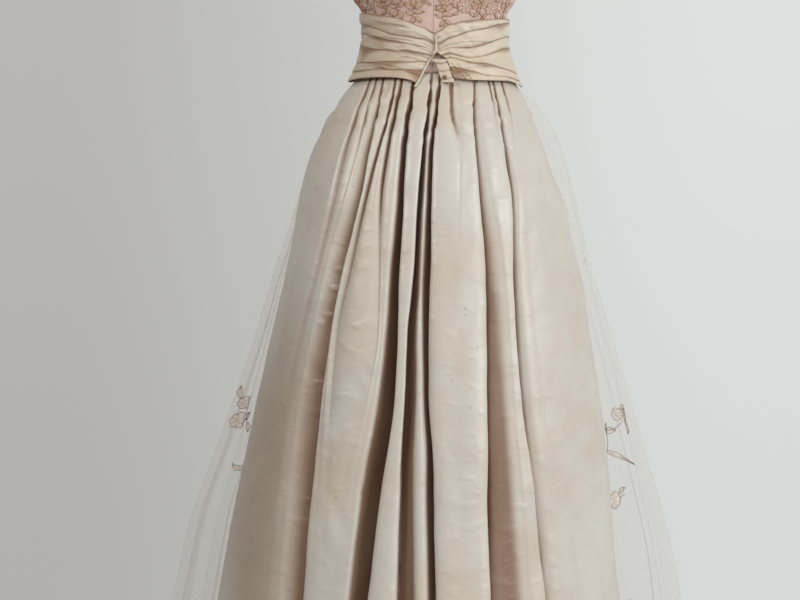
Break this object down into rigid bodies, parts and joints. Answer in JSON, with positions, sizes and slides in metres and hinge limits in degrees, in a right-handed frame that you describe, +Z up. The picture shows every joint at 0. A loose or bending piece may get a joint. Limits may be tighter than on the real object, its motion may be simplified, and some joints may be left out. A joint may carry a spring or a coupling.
{
  "type": "evening gown",
  "caption": "Floor-length strapless evening gown, hollow, with a ruched satin sash, a pleated satin skirt and a sheer tulle overskirt gathered over the hidden side.",
  "frame": {"origin": "the middle of the waist seam, on the wearer's axis, where the waist carries the gown", "axes": "+Z up along the gown, the side with the closure faces -Y, +X to the right of someone who looks at that side"},
  "size_m": [0.9033, 0.8123, 1.3268],
  "materials": {
    "skirt_satin": "ivory satin with a soft sheen",
    "sash_satin": "aged cream satin, ruched",
    "lining": "pale pink plain weave",
    "tulle": "sheer beige tulle",
    "lace": "corded lace in faded gold thread",
    "snap_metal": "worn plated press stud"
  },
  "bodies": {
    "root": {"bodice_centre_left": "lining", "bodice_centre_right": "lining", "bodice_side_left": "lining", "bodice_side_right": "lining", "bodice_back": "lining", "bodice_tulle_left": "tulle", "bodice_tulle_right": "tulle", "bodice_tulle_back": "tulle", "sash": "sash_satin", "sash_binding": "sash_satin", "sash_tab": "sash_satin", "snap": "snap_metal", "skirt_front_left": "skirt_satin", "skirt_front_right": "skirt_satin", "skirt_back": "skirt_satin", "overskirt": "tulle", "lace_left": "lace", "lace_left_side": "lace", "lace_right": "lace", "lace_right_side": "lace", "lace_back_left": "lace", "lace_back_right": "lace", "sprig_left": "lace", "sprig_right": "lace", "sprig_right_low": "lace", "sprig_back_right": "lace", "sprig_back": "lace", "sprig_back_left": "lace"}
  },
  "joints": []
}
